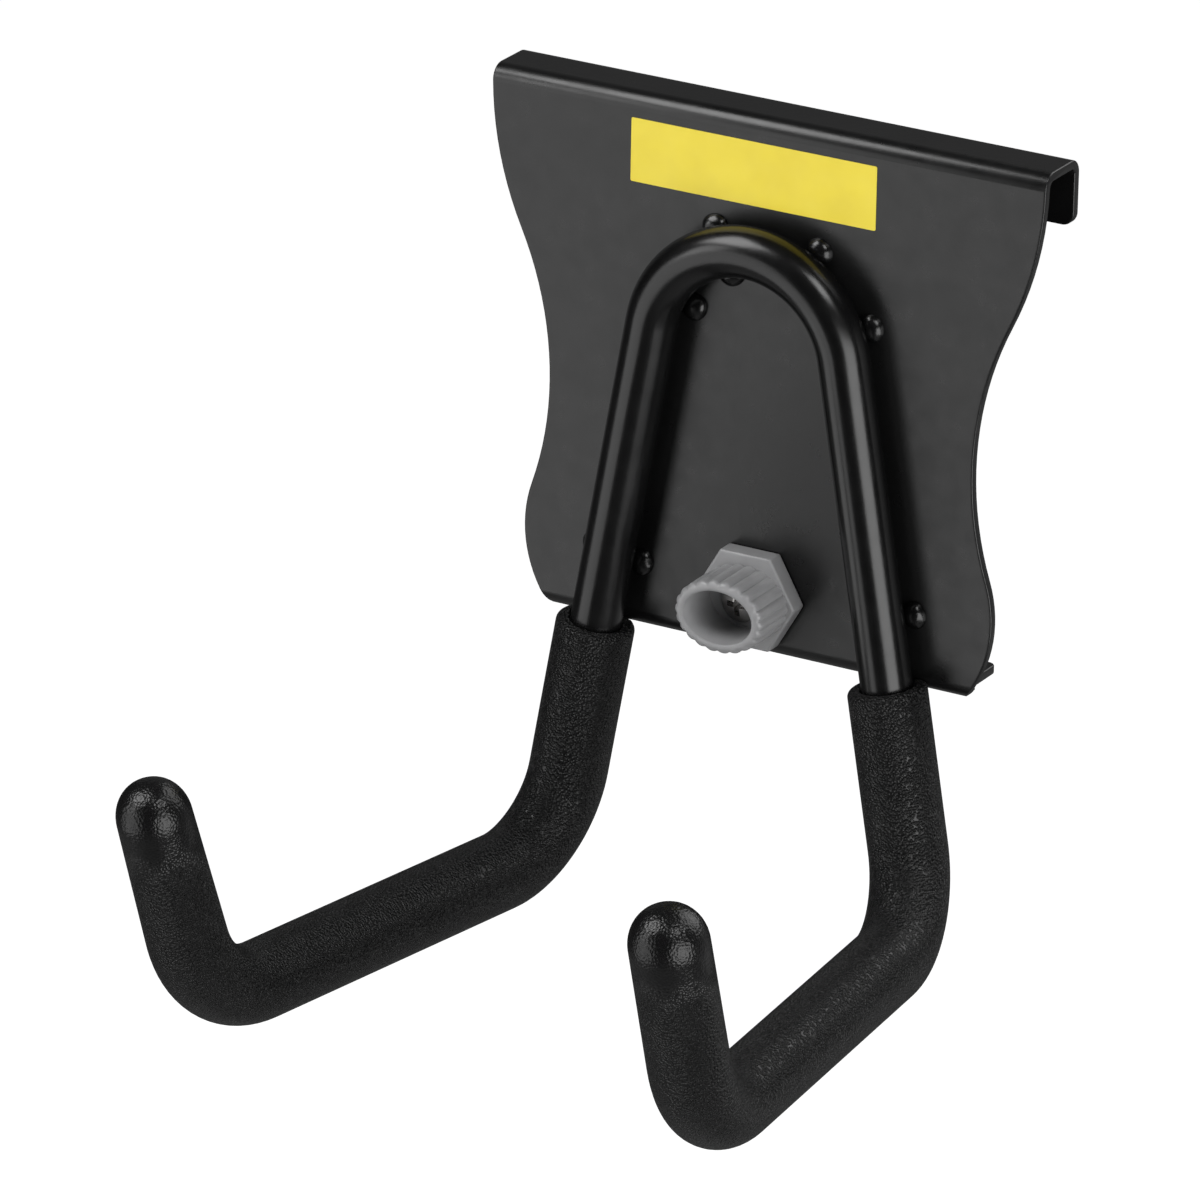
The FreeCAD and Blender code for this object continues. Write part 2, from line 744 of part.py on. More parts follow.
cam = doc.addObject("PartDesign::Body", "lock_cam")
cam.Label = "lock_cam"
boss_sketch = new_sketch(cam, "boss_sketch", "XZ_Plane",
                         "sizes.fold_depth / 2 - sizes.sheet - sizes.lock_play")
boss_circle = boss_sketch.addGeometry(
    Part.Circle(Vector(0, lock_height, 0), Z_AXIS, size("cam_boss") / 2), False)
join(boss_sketch, "PointOnObject", boss_circle, 3, -2)
constrain(boss_sketch, "Radius", (boss_circle,), size("cam_boss") / 2, "sizes.cam_boss / 2")
constrain(boss_sketch, "DistanceY", (boss_circle, 3, -1, 1), -lock_height,
          "sizes.plate_height - sizes.sheet - sizes.lock_rise")
boss = cam.newObject("PartDesign::Pad", "boss")
boss.Profile = boss_sketch
boss.Reversed = True
bind(boss, {"Length": "sizes.cam_standoff + sizes.cam_thickness"})

nose_sketch = new_sketch(cam, "nose_sketch", "XZ_Plane",
                         "sizes.fold_depth / 2 - sizes.sheet - sizes.lock_play - sizes.cam_standoff")
heel_radius = size("cam_heel")
nose_radius = size("cam_nose")
nose_centre = nose_radius - size("cam_reach")
lean = math.acos((heel_radius - nose_radius) / -nose_centre)
heel_arc = nose_sketch.addGeometry(
    arc(0, lock_height, heel_radius, lean - math.pi, math.pi - lean), False)
nose_arc = nose_sketch.addGeometry(
    arc(nose_centre, lock_height, nose_radius, math.pi - lean, math.pi + lean), False)


def flank(side):
    """Straight flank from the heel's circle to the nose's circle."""
    away = Vector(-math.cos(lean), side * math.sin(lean), 0)
    heel_point = Vector(0, lock_height, 0) + away * heel_radius
    nose_point = Vector(nose_centre, lock_height, 0) + away * nose_radius
    return nose_sketch.addGeometry(Part.LineSegment(heel_point, nose_point), False)


upper_flank = flank(1)
lower_flank = flank(-1)
join(nose_sketch, "Tangent", heel_arc, 2, upper_flank, 1)
join(nose_sketch, "Tangent", upper_flank, 2, nose_arc, 1)
join(nose_sketch, "Tangent", nose_arc, 2, lower_flank, 2)
join(nose_sketch, "Tangent", lower_flank, 1, heel_arc, 1)
join(nose_sketch, "PointOnObject", heel_arc, 3, -2)
join(nose_sketch, "Horizontal", heel_arc, 3, nose_arc, 3)
constrain(nose_sketch, "Radius", (heel_arc,), heel_radius, "sizes.cam_heel")
constrain(nose_sketch, "Radius", (nose_arc,), nose_radius, "sizes.cam_nose")
constrain(nose_sketch, "DistanceX", (nose_arc, 3, -1, 1), -nose_centre, "sizes.cam_reach - sizes.cam_nose")
constrain(nose_sketch, "DistanceY", (heel_arc, 3, -1, 1), -lock_height,
          "sizes.plate_height - sizes.sheet - sizes.lock_rise")
nose = cam.newObject("PartDesign::Pad", "nose")
nose.Profile = nose_sketch
nose.Reversed = True
bind(nose, {"Length": "sizes.cam_thickness"})
doc.recompute()

socket_sketch = new_sketch(cam, "socket_sketch", "XZ_Plane",
                           "sizes.fold_depth / 2 - sizes.sheet - sizes.lock_play")
half_socket = half_drive + size("drive_play")
socket_side = polygon(socket_sketch, [
    (-half_socket, lock_height - half_socket),
    (half_socket, lock_height - half_socket),
    (half_socket, lock_height + half_socket),
    (-half_socket, lock_height + half_socket),
])
constrain(socket_sketch, "DistanceX", (socket_side[0], 1, socket_side[0], 2), 2 * half_socket,
          "sizes.drive_side + 2 * sizes.drive_play")
constrain(socket_sketch, "DistanceY", (socket_side[1], 1, socket_side[1], 2), 2 * half_socket,
          "sizes.drive_side + 2 * sizes.drive_play")
constrain(socket_sketch, "DistanceX", (socket_side[0], 1, -1, 1), half_socket,
          "sizes.drive_side / 2 + sizes.drive_play")
constrain(socket_sketch, "DistanceY", (socket_side[2], 1, -1, 1), -lock_height - half_socket,
          "sizes.plate_height - sizes.sheet - sizes.lock_rise - sizes.drive_side / 2 - sizes.drive_play")
socket = cam.newObject("PartDesign::Pocket", "drive_socket")
socket.Profile = socket_sketch
bind(socket, {"Length": "sizes.cam_standoff"})

pilot_sketch = new_sketch(cam, "pilot_sketch", "XZ_Plane",
                          "sizes.fold_depth / 2 - sizes.sheet - sizes.lock_play")
pilot_radius = size("screw_diameter") / 2 + size("screw_grip")
pilot_circle = pilot_sketch.addGeometry(
    Part.Circle(Vector(0, lock_height, 0), Z_AXIS, pilot_radius), False)
join(pilot_sketch, "PointOnObject", pilot_circle, 3, -2)
constrain(pilot_sketch, "Radius", (pilot_circle,), pilot_radius,
          "sizes.screw_diameter / 2 + sizes.screw_grip")
constrain(pilot_sketch, "DistanceY", (pilot_circle, 3, -1, 1), -lock_height,
          "sizes.plate_height - sizes.sheet - sizes.lock_rise")
pilot = cam.newObject("PartDesign::Pocket", "pilot_hole")
pilot.Profile = pilot_sketch
bind(pilot, {"Length": "sizes.cam_standoff + sizes.cam_thickness"})
cam.Tip = pilot
doc.recompute()


# Lock screw: a pan head on the floor of the collar's bore, with its shank through the
# knob and into the cam

head_dome = doc.addObject("Part::Feature", "screw_head")
head_radius = size("head_diameter") / 2
head_height = size("head_height")
edge_height = head_height / 2
dome_rise = head_height - edge_height
dome_radius = (head_radius ** 2 + dome_rise ** 2) / (2 * dome_rise)
dome_centre = Vector(0, 0, head_height - dome_radius)
half_reach = math.asin(head_radius / dome_radius) / 2
crown_point = Vector(0, 0, head_height)
brow = dome_centre + Vector(math.sin(half_reach), 0, math.cos(half_reach)) * dome_radius
head_edge = Vector(head_radius, 0, edge_height)
head_profile = Part.Wire([
    Part.LineSegment(Vector(0, 0, 0), Vector(head_radius, 0, 0)).toShape(),
    Part.LineSegment(Vector(head_radius, 0, 0), head_edge).toShape(),
    Part.Arc(head_edge, brow, crown_point).toShape(),
    Part.LineSegment(crown_point, Vector(0, 0, 0)).toShape(),
])
head_dome.Shape = Part.Face(head_profile).revolve(Vector(0, 0, 0), Z_AXIS, FULL_TURN)
head_dome.Placement = on_axis(floor_level, TO_FRONT)

shank = doc.addObject("Part::Cylinder", "screw_shank")
shank.Placement = on_axis(floor_level, TO_BACK)
bind(shank, {
    "Radius": "sizes.screw_diameter / 2",
    "Height": "sizes.knob_floor + 2 * sizes.lock_play + sizes.sheet + sizes.cam_standoff"
              " + sizes.cam_thickness",
})
screw_body = doc.addObject("Part::Fuse", "screw_body")
screw_body.Base = head_dome
screw_body.Tool = shank

recess_arms = []
half_span = size("recess_span") / 2
half_slot = size("recess_width") / 2
recess_level = floor_level - head_height - MARGIN
for name, half_x, half_z, spans in (
        ("recess_across", half_span, half_slot, ("recess_span", "recess_width")),
        ("recess_upright", half_slot, half_span, ("recess_width", "recess_span"))):
    arm = doc.addObject("Part::Box", name)
    arm.Placement = Placement(Vector(-half_x, recess_level, lock_height - half_z), Rotation())
    bind(arm, {
        "Length": f"sizes.{spans[0]}",
        "Height": f"sizes.{spans[1]}",
        "Width": f"sizes.recess_depth + {MARGIN}",
    })
    recess_arms.append(arm)
recess = doc.addObject("Part::Fuse", "screw_recess")
recess.Base = recess_arms[0]
recess.Tool = recess_arms[1]
screw = doc.addObject("Part::Cut", "lock_screw")
screw.Base = screw_body
screw.Tool = recess
screw.Label = "lock_screw"
doc.recompute()


# Every object has to be sound before any piece is written

PIECES = [plate, rod, left_sleeve, right_sleeve, beads, knob, cam, screw]
for item in doc.Objects:
    if "Invalid" in item.State or "Error" in item.State:
        raise RuntimeError(f"{item.Name} did not recompute: {item.State}")
for piece in PIECES:
    shape = piece.Shape
    if shape.isNull() or not shape.isValid():
        raise RuntimeError(f"{piece.Label} has no sound shape")
    print(piece.Label, "solids", len(shape.Solids), "faces", len(shape.Faces),
          "volume", round(shape.Volume, 1))
for piece in PIECES:
    piece.Shape.exportStep(f"parts/{piece.Label}.step")
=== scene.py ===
# %% [markdown]
# # A garage utility hook
# This lesson dresses a small wall hook for a garage rail: a folded steel plate in black
# powder coat, one bent steel rod welded to it, two soft rubbery sleeves, and a plastic
# quarter-turn lock near the foot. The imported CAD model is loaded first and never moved.
# It gives every size, so each new piece is built on the same numbers, in metres.

import math

import bmesh
import bpy
from mathutils import Matrix, Vector, noise


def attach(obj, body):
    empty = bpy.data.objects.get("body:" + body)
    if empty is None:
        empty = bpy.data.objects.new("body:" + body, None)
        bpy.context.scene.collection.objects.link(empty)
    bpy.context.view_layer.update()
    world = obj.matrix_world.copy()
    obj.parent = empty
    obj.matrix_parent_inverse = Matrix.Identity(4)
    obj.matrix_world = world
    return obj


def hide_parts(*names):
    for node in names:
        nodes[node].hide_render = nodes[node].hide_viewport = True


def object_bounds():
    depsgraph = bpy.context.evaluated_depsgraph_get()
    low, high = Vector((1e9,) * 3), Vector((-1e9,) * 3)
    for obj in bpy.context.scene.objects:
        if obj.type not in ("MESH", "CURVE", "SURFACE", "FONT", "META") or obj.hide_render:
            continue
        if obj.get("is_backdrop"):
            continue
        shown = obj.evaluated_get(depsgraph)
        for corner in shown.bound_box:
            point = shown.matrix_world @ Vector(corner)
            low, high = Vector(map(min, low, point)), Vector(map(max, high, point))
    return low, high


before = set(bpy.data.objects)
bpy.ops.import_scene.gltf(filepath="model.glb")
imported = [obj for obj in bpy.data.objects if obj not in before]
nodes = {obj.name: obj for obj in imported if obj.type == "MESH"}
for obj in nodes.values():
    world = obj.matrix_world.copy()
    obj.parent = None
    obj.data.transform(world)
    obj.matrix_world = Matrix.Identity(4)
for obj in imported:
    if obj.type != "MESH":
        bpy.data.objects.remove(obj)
cad_low, cad_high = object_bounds()
MM = 0.001
print("nodes", sorted(nodes))
print("size in mm", [round(side / MM, 1) for side in cad_high - cad_low])

# %% [markdown]
# The camera stands where the photographer stood: well back with a long lens, to the
# right of the hook and above it, so that parallel edges stay nearly parallel. A camera
# looks along its own -Z, so the view's three directions are worked out from the two
# viewing angles, and a last small roll matches the slight tilt of the picture.

# %% Camera
VIEW_AZIMUTH = math.radians(29.70)
VIEW_ELEVATION = math.radians(21.70)
VIEW_ROLL = math.radians(1.00)
VIEW_DISTANCE = 1.8849
LENS_MM = 303.9
AIM = Vector((-0.0095, -0.0490, -0.0821))

backward = Vector((
    math.sin(VIEW_AZIMUTH) * math.cos(VIEW_ELEVATION),
    -math.cos(VIEW_AZIMUTH) * math.cos(VIEW_ELEVATION),
    math.sin(VIEW_ELEVATION),
))
level = Vector((math.cos(VIEW_AZIMUTH), math.sin(VIEW_AZIMUTH), 0))
upright = backward.cross(level)
straight = Matrix((level, upright, backward)).transposed()
turned = straight @ Matrix.Rotation(VIEW_ROLL, 3, "Z")

camera_data = bpy.data.cameras.new("studio_camera")
camera_data.sensor_fit = "HORIZONTAL"
camera_data.lens = LENS_MM
camera_data.clip_end = 50
camera = bpy.data.objects.new("studio_camera", camera_data)
camera.matrix_world = Matrix.Translation(AIM + backward * VIEW_DISTANCE) @ turned.to_4x4()
bpy.context.scene.collection.objects.link(camera)
bpy.context.scene.camera = camera
bpy.context.scene.view_settings.view_transform = "Standard"
print("camera at", tuple(round(value, 3) for value in camera.location))

# %% [markdown]
# A finish is a node material. Most of them share two steps: a Principled shader with
# plain numbers set straight on its sockets, and a bump that reads the object's own
# coordinates, so the grain stays on the piece when the piece moves. Small helpers keep
# those steps in one place.

# %% Helpers for finishes
def new_finish(name, colour, roughness, metallic=0.0, specular=0.5):
    """A material with one Principled shader; returns the material and its shader."""
    finish = bpy.data.materials.new(name)
    finish.use_nodes = True
    shader = finish.node_tree.nodes["Principled BSDF"]
    shader.inputs["Base Color"].default_value = (*colour, 1)
    shader.inputs["Roughness"].default_value = roughness
    shader.inputs["Metallic"].default_value = metallic
    shader.inputs["Specular IOR Level"].default_value = specular
    finish.diffuse_color = (*colour, 1)
    return finish, shader


def add(finish, kind, **settings):
    """One more node in a finish, with its properties set."""
    node = finish.node_tree.nodes.new(kind)
    for name, value in settings.items():
        setattr(node, name, value)
    return node


def link(finish, source, target):
    finish.node_tree.links.new(source, target)


def place_of(finish):
    """The point on the piece, in the object's own coordinates."""
    return add(finish, "ShaderNodeTexCoord").outputs["Object"]


def grain(finish, where, size, detail=2.0):
    """Cloudy noise whose lumps are about one size across, in metres."""
    clouds = add(finish, "ShaderNodeTexNoise")
    clouds.inputs["Scale"].default_value = 1 / size
    clouds.inputs["Detail"].default_value = detail
    link(finish, where, clouds.inputs["Vector"])
    return clouds.outputs["Fac"]


def spread(finish, value, low, high, from_low=0.3, from_high=0.7):
    """Maps a noise value to a useful range."""
    node = add(finish, "ShaderNodeMapRange")
    link(finish, value, node.inputs["Value"])
    node.inputs["From Min"].default_value = from_low
    node.inputs["From Max"].default_value = from_high
    node.inputs["To Min"].default_value = low
    node.inputs["To Max"].default_value = high
    return node.outputs["Result"]


def bump(finish, height, depth, strength, under=None):
    """Turns a height into a bump of a real depth in metres; bumps can be stacked."""
    node = add(finish, "ShaderNodeBump")
    node.inputs["Distance"].default_value = depth
    node.inputs["Strength"].default_value = strength
    link(finish, height, node.inputs["Height"])
    if under is not None:
        link(finish, under, node.inputs["Normal"])
    return node.outputs["Normal"]


def tint(finish, value, dark, light):
    """A colour between two colours, led by a value from 0 to 1."""
    node = add(finish, "ShaderNodeMix", data_type="RGBA")
    node.inputs["A"].default_value = (*dark, 1)
    node.inputs["B"].default_value = (*light, 1)
    link(finish, value, node.inputs["Factor"])
    return node.outputs["Result"]


print("finish helpers ready")

# %% [markdown]
# The plate wears satin black powder coat. Powder melts into a skin that is smooth but
# not flat: it keeps a gentle orange peel of about a millimetre and a much finer tooth.
# Two noises make those two scales. Two slower ones change the gloss and the black a little
# from place to place, so that a long highlight breaks up as it does on the real thing.

# %% Powder coat
def powder_coat(name, dark, light, gloss, peel, specular):
    """Black powder coat; gloss is its roughness and peel the depth of its orange peel."""
    finish, shader = new_finish(name, dark, gloss, specular=specular)
    where = place_of(finish)
    cloud = spread(finish, grain(finish, where, 0.012), 0, 1)
    link(finish, tint(finish, cloud, dark, light), shader.inputs["Base Color"])
    rough = spread(finish, grain(finish, where, 0.004), gloss * 0.9, gloss * 1.12)
    link(finish, rough, shader.inputs["Roughness"])
    skin = bump(finish, grain(finish, where, 0.0011), peel, 0.5)
    tooth = bump(finish, grain(finish, where, 0.00022, 1.0), 0.00001, 0.35, under=skin)
    link(finish, tooth, shader.inputs["Normal"])
    return finish


plate_coat = powder_coat("plate_powder_coat", (0.0040, 0.0040, 0.0041),
                         (0.0055, 0.0055, 0.0056), 0.30, 0.00003, 0.48)
rod_coat = powder_coat("rod_powder_coat", (0.0030, 0.0030, 0.0031),
                       (0.0040, 0.0040, 0.0041), 0.24, 0.00001, 0.45)
print("coats", plate_coat.name, rod_coat.name)

# %% [markdown]
# The CAD plate already has the right folds and outline, but its edges are knife sharp,
# and powder coat never leaves a sharp edge: it draws back and rounds over. The CAD mesh
# itself stays as it is. A copy has its loose triangles merged, flat neighbours dissolved,
# and every hard edge given a narrow round bevel that can catch the light. Smooth shading
# would then lean the light on the big flat walls, so each wall gets a thin frame of faces
# inside its outline, which takes up the turn and leaves the rest of the wall truly flat.

# %% Helpers for pieces
def finish_piece(name, mesh, finish, body, node=None):
    """Makes an object from a mesh in place, gives it its finish and lets it ride."""
    piece = bpy.data.objects.new(name, mesh)
    bpy.context.scene.collection.objects.link(piece)
    piece.data.materials.clear()
    piece.data.materials.append(finish)
    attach(piece, body)
    if node:
        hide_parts(node)
    print(name, len(mesh.vertices), "points")


def to_mesh(bm, name, sharp=math.radians(38)):
    """Closes a bmesh into a smooth mesh that stays crisp at steep edges."""
    bmesh.ops.remove_doubles(bm, verts=bm.verts, dist=1e-7)
    bmesh.ops.recalc_face_normals(bm, faces=bm.faces)
    mesh = bpy.data.meshes.new(name)
    bm.to_mesh(mesh)
    bm.free()
    mesh.shade_smooth()
    mesh.set_sharp_from_angle(angle=sharp)
    return mesh


def keep_flat(bm, smallest, margin):
    """Frames every flat face over a given area, so that its shading stays flat."""
    walls = [face for face in bm.faces if face.calc_area() > smallest]
    bmesh.ops.inset_region(bm, faces=walls, thickness=margin,
                           use_boundary=True, use_even_offset=True)
    open_edges = sum(1 for edge in bm.edges if not edge.is_manifold)
    print(len(walls), "flat faces framed,", open_edges, "open edges")


print("piece helpers ready")

# %% Plate skin
HARD_EDGE = math.radians(50)
EDGE_BEVEL = 0.00028
WALL_AREA = 3e-4
WALL_FRAME = 0.0003

bm = bmesh.new()
bm.from_mesh(nodes["back_plate"].data)
bmesh.ops.remove_doubles(bm, verts=bm.verts, dist=1e-6)
bmesh.ops.dissolve_limit(bm, angle_limit=math.radians(0.5), verts=bm.verts, edges=bm.edges)
hard = [edge for edge in bm.edges
        if len(edge.link_faces) == 2 and edge.calc_face_angle() > HARD_EDGE]
bmesh.ops.bevel(bm, geom=hard, offset=EDGE_BEVEL, affect="EDGES", segments=3,
                profile=0.5, material=-1)
keep_flat(bm, WALL_AREA, WALL_FRAME)
plate_mesh = to_mesh(bm, "plate_skin")
finish_piece("plate_skin", plate_mesh, plate_coat, "bracket", "back_plate")

# %% [markdown]
# The rod is one bar of round steel bent cold: a tight U on the plate, two legs that
# spread, an arm each side that comes forward and a tip that turns up. A bender makes it
# from straight runs and true arcs, so it is built the same way: one ring of points is
# drawn out along each run and spun round each bend.

# %% The rod's route
ROD_RADIUS = 0.005
CROWN = Vector((0, -0.01165, -0.0439))
CROWN_RADIUS = 0.0209
HEEL_RADIUS = 0.0173
TOE_RADIUS = 0.0242


def corners(side):
    """Heel, toe and tip of the arm on one side: -1 is the left one, 1 the right."""
    heel = Vector((side * 0.0401, -0.01165, -0.1524))
    toe = Vector((side * 0.0526, -0.11825, -0.1485))
    tip = Vector((side * 0.0540, -0.13335, -0.1060))
    return heel, toe, tip


def leg_top(side):
    """Point where a leg leaves the crown's circle without a kink."""
    away = corners(side)[0] - CROWN
    angle = math.atan2(away.z, away.x) + side * math.acos(CROWN_RADIUS / away.length)
    return CROWN + Vector((math.cos(angle), 0, math.sin(angle))) * CROWN_RADIUS


def bend_at(before, corner, after, radius):
    """Where a bend starts, its centre, axis and angle."""
    inward = (before - corner).normalized()
    onward = (after - corner).normalized()
    half = inward.angle(onward) / 2
    trim = radius / math.tan(half)
    centre = corner + (inward + onward).normalized() * (radius / math.sin(half))
    axis = (-inward).cross(onward).normalized()
    return corner + inward * trim, centre, axis, math.pi - 2 * half


print("leg tops", [tuple(round(v / MM, 1) for v in leg_top(side)) for side in (-1, 1)])

# %% Drawing a ring along a route
def ring(bm, centre, along, radius, count):
    """A circle of edges that faces along a direction."""
    facing = Matrix.Translation(centre) @ along.to_track_quat("Z", "Y").to_matrix().to_4x4()
    made = bmesh.ops.create_circle(bm, radius=radius, segments=count, matrix=facing)
    return list({edge for vert in made["verts"] for edge in vert.link_edges})


def middle(edges):
    points = {vert for edge in edges for vert in edge.verts}
    return sum((vert.co for vert in points), Vector()) / len(points)


def draw_out(bm, edges, target, scale=1.0):
    """Extrudes a ring to a new middle, wider or narrower, and returns the new ring."""
    start = middle(edges)
    made = bmesh.ops.extrude_edge_only(bm, edges=edges)["geom"]
    points = [item for item in made if isinstance(item, bmesh.types.BMVert)]
    bmesh.ops.translate(bm, verts=points, vec=target - start)
    if scale != 1.0:
        bmesh.ops.scale(bm, verts=points, vec=(scale,) * 3, space=Matrix.Translation(-target))
    return [item for item in made if isinstance(item, bmesh.types.BMEdge)]


def bend_round(bm, edges, centre, axis, angle):
    """Spins a ring round a bend, one step for each four degrees."""
    steps = max(2, round(math.degrees(angle) / 4))
    points = list({vert for edge in edges for vert in edge.verts})
    made = bmesh.ops.spin(bm, geom=edges + points, cent=centre, axis=axis, angle=angle, steps=steps)
    return [item for item in made["geom_last"] if isinstance(item, bmesh.types.BMEdge)]


def run_and_bend(bm, edges, before, corner, after, radius):
    """One straight run up to a bend, and the bend."""
    start, centre, axis, angle = bend_at(before, corner, after, radius)
    edges = draw_out(bm, edges, start)
    return bend_round(bm, edges, centre, axis, angle)


print("route helpers ready")

# %% Rod
BAR_POINTS = 56

bm = bmesh.new()
left_heel, left_toe, left_tip = corners(-1)
right_heel, right_toe, right_tip = corners(1)
bar = ring(bm, left_tip, left_toe - left_tip, ROD_RADIUS, BAR_POINTS)
bmesh.ops.holes_fill(bm, edges=bar)
bar = run_and_bend(bm, bar, left_tip, left_toe, left_heel, TOE_RADIUS)
bar = run_and_bend(bm, bar, left_toe, left_heel, leg_top(-1), HEEL_RADIUS)
bar = draw_out(bm, bar, leg_top(-1))
crown_turn = (leg_top(-1) - CROWN).angle(leg_top(1) - CROWN)
bar = bend_round(bm, bar, CROWN, Vector((0, 1, 0)), crown_turn)
bar = run_and_bend(bm, bar, leg_top(1), right_heel, right_toe, HEEL_RADIUS)
bar = run_and_bend(bm, bar, right_heel, right_toe, right_tip, TOE_RADIUS)
bar = draw_out(bm, bar, right_tip)
bmesh.ops.holes_fill(bm, edges=bar)
finish_piece("bent_rod", to_mesh(bm, "bent_rod"), rod_coat, "bracket", "hook_rod")

# %% [markdown]
# The sleeves are what the hanging thing rests on: a thick soft black skin, matt and
# faintly leathery, that swallows light except for one soft broad sheen. Its grain is
# about half a millimetre, so it is made of cells rather than clouds. Over the tip the
# real skin is smoother and shinier, so the grain and the roughness fade there.
#
# A sleeve is drawn like the rod: a ring starts inside the mouth, rolls over the rounded
# rim, follows both bends and slims over the tip. The rim is soft, so where it would
# touch the plate's rounded lower edge its points are pressed out of the way.

# %% Sleeve rubber
GRAIN_SIZE = 0.00053
GRAIN_DEPTH = 0.00068
POLISH_START = 0.0135
POLISH_FULL = 0.0078


def sleeve_rubber(name, tip):
    """Grained black rubber that is polished near one point, the middle of the tip."""
    finish, shader = new_finish(name, (0.004, 0.004, 0.0041), 0.6, specular=0.36)
    where = place_of(finish)
    from_tip = add(finish, "ShaderNodeVectorMath", operation="DISTANCE")
    link(finish, where, from_tip.inputs[0])
    from_tip.inputs[1].default_value = tip
    polish = spread(finish, from_tip.outputs["Value"], 1, 0, POLISH_FULL, POLISH_START)
    cells = add(finish, "ShaderNodeTexVoronoi")
    cells.inputs["Scale"].default_value = 1 / GRAIN_SIZE
    link(finish, where, cells.inputs["Vector"])
    pores = spread(finish, cells.outputs["Distance"], 0, 1, 0.1, 0.75)
    strength = add(finish, "ShaderNodeMapRange")
    link(finish, polish, strength.inputs["Value"])
    strength.inputs["To Min"].default_value = 1.0
    strength.inputs["To Max"].default_value = 0.15
    leather = add(finish, "ShaderNodeBump")
    leather.inputs["Distance"].default_value = GRAIN_DEPTH
    link(finish, strength.outputs["Result"], leather.inputs["Strength"])
    link(finish, pores, leather.inputs["Height"])
    soft = bump(finish, grain(finish, where, 0.0030), 0.00012, 0.35,
                under=leather.outputs["Normal"])
    link(finish, soft, shader.inputs["Normal"])
    rough = add(finish, "ShaderNodeMapRange")
    link(finish, polish, rough.inputs["Value"])
    rough.inputs["To Min"].default_value = 0.33
    rough.inputs["To Max"].default_value = 0.26
    link(finish, rough.outputs["Result"], shader.inputs["Roughness"])
    cloud = spread(finish, grain(finish, where, 0.006), 0, 1)
    black = tint(finish, cloud, (0.0040, 0.0040, 0.0041), (0.0062, 0.0062, 0.0064))
    link(finish, black, shader.inputs["Base Color"])
    return finish


print("grain", GRAIN_SIZE / MM, "mm, smooth within", POLISH_FULL / MM, "mm of the tip's middle")

# %% Sleeves
SLEEVE_RADIUS = 0.00765
MOUTH_RADIUS = 0.0051
MOUTH_ROUND = 0.0006
EDGE_ROUND = 0.0012
SLEEVE_RISE = 0.0017
SLEEVE_GAP = 0.0003
PLATE_BOTTOM = -0.1051
BEND_AXIS = Vector((0, -0.00365, -0.1021))
BEND_RADIUS = 0.003
MOUTH_DEPTH = 0.006
SLEEVE_POINTS = 72
MOUTH_STEPS = 5
EDGE_STEPS = 7
TIP_STEPS = 8
DOME_STEPS = 15
DOME_FULLNESS = 0.85


def sleeve_top(side):
    """Middle of a sleeve's open end on the leg, and the way down the leg."""
    start = leg_top(side)
    along = (corners(side)[0] - start).normalized()
    return start + along * ((PLATE_BOTTOM + SLEEVE_RISE - start.z) / along.z), along


def give_way(vert):
    """Presses a point of the soft rim out of the plate's rounded lower edge."""
    reach = BEND_RADIUS + SLEEVE_GAP
    away = Vector((0, vert.co.y, vert.co.z)) - BEND_AXIS
    if away.z > 0:
        vert.co.y = min(vert.co.y, BEND_AXIS.y - reach)
    elif away.length < reach:
        vert.co += away.normalized() * (reach - away.length)


def sleeve_shape(side, slim):
    """A tube with an open mouth, a rounded rim, two bends and a slim tip with a blunt dome."""
    bm = bmesh.new()
    top, along = sleeve_top(side)
    heel, toe, tip = corners(side)
    skin = ring(bm, top + along * MOUTH_DEPTH, along, MOUTH_RADIUS, SLEEVE_POINTS)
    radius = MOUTH_RADIUS
    profile = [(MOUTH_RADIUS, MOUTH_ROUND)]
    for step in range(1, MOUTH_STEPS + 1):
        angle = math.radians(90 / MOUTH_STEPS * step)
        profile.append((MOUTH_RADIUS + MOUTH_ROUND * (1 - math.cos(angle)),
                        MOUTH_ROUND * (1 - math.sin(angle))))
    for step in range(EDGE_STEPS + 1):
        angle = math.radians(90 / EDGE_STEPS * step)
        profile.append((SLEEVE_RADIUS - EDGE_ROUND * (1 - math.sin(angle)),
                        EDGE_ROUND * (1 - math.cos(angle))))
    for wide, deep in profile:
        skin = draw_out(bm, skin, top + along * deep, wide / radius)
        radius = wide
    skin = run_and_bend(bm, skin, top, heel, toe, HEEL_RADIUS)
    skin = run_and_bend(bm, skin, heel, toe, tip, TOE_RADIUS)
    bend_end = middle(skin)
    for step in range(1, TIP_STEPS + 1):
        wide = SLEEVE_RADIUS * (1 - (1 - slim) * step / TIP_STEPS)
        skin = draw_out(bm, skin, bend_end.lerp(tip, step / TIP_STEPS), wide / radius)
        radius = wide
    onward = (tip - toe).normalized()
    for step in range(1, DOME_STEPS):
        angle = math.radians(90 / DOME_STEPS * step)
        wide = SLEEVE_RADIUS * slim * math.cos(angle) ** DOME_FULLNESS
        skin = draw_out(bm, skin, tip + onward * SLEEVE_RADIUS * math.sin(angle), wide / radius)
        radius = wide
    cap = bmesh.ops.extrude_edge_only(bm, edges=skin)["geom"]
    peak = [item for item in cap if isinstance(item, bmesh.types.BMVert)]
    bmesh.ops.pointmerge(bm, verts=peak, merge_co=tip + onward * SLEEVE_RADIUS)
    for vert in bm.verts:
        give_way(vert)
    return bm


for side, name, slim in ((-1, "left_sleeve", 0.93), (1, "right_sleeve", 0.98)):
    rubber = sleeve_rubber(f"{name}_rubber", corners(side)[2])
    skin_mesh = to_mesh(sleeve_shape(side, slim), f"{name}_skin")
    finish_piece(f"{name}_skin", skin_mesh, rubber, "bracket", name)

